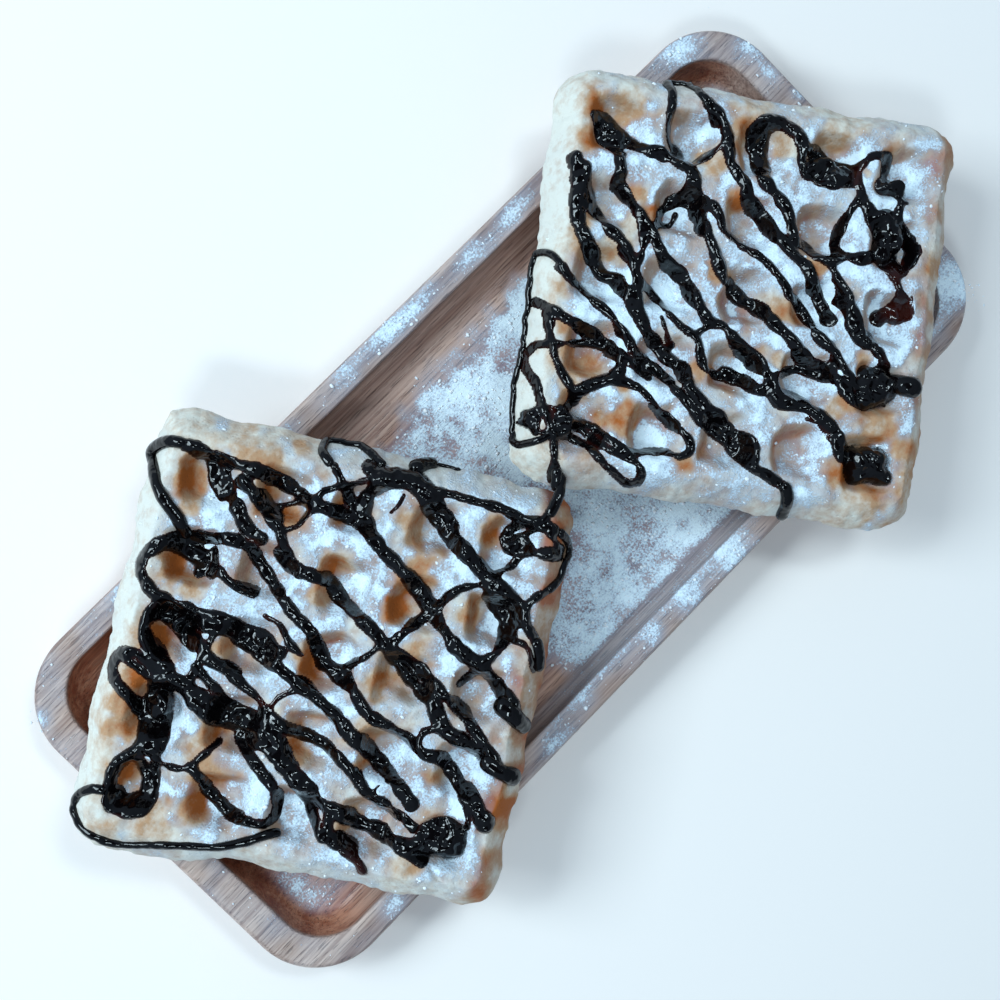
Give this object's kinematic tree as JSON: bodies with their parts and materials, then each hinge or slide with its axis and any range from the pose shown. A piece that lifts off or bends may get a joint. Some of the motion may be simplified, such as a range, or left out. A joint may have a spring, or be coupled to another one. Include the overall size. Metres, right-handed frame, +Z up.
{
  "type": "waffles on a wooden tray",
  "caption": "Square pocketed waffles with chocolate sauce and icing sugar, laid across the rim of a long wooden serving tray.",
  "frame": {"origin": "middle of the tray's flat underside", "axes": "+X along the tray's length, +Y across it, +Z up out of the trough"},
  "size_m": [0.3249, 0.175, 0.0423],
  "materials": {
    "wood": "oiled hardwood with fine grain along the tray, dusted with sugar",
    "crust": "pale baked waffle crust, golden brown in the pockets, dusted with sugar",
    "sauce": "glossy near-black chocolate sauce",
    "sugar": "fine white icing sugar, matte"
  },
  "bodies": {
    "root": {"tray": "wood", "waffle_left": "crust", "waffle_right": "crust"}
  },
  "joints": []
}
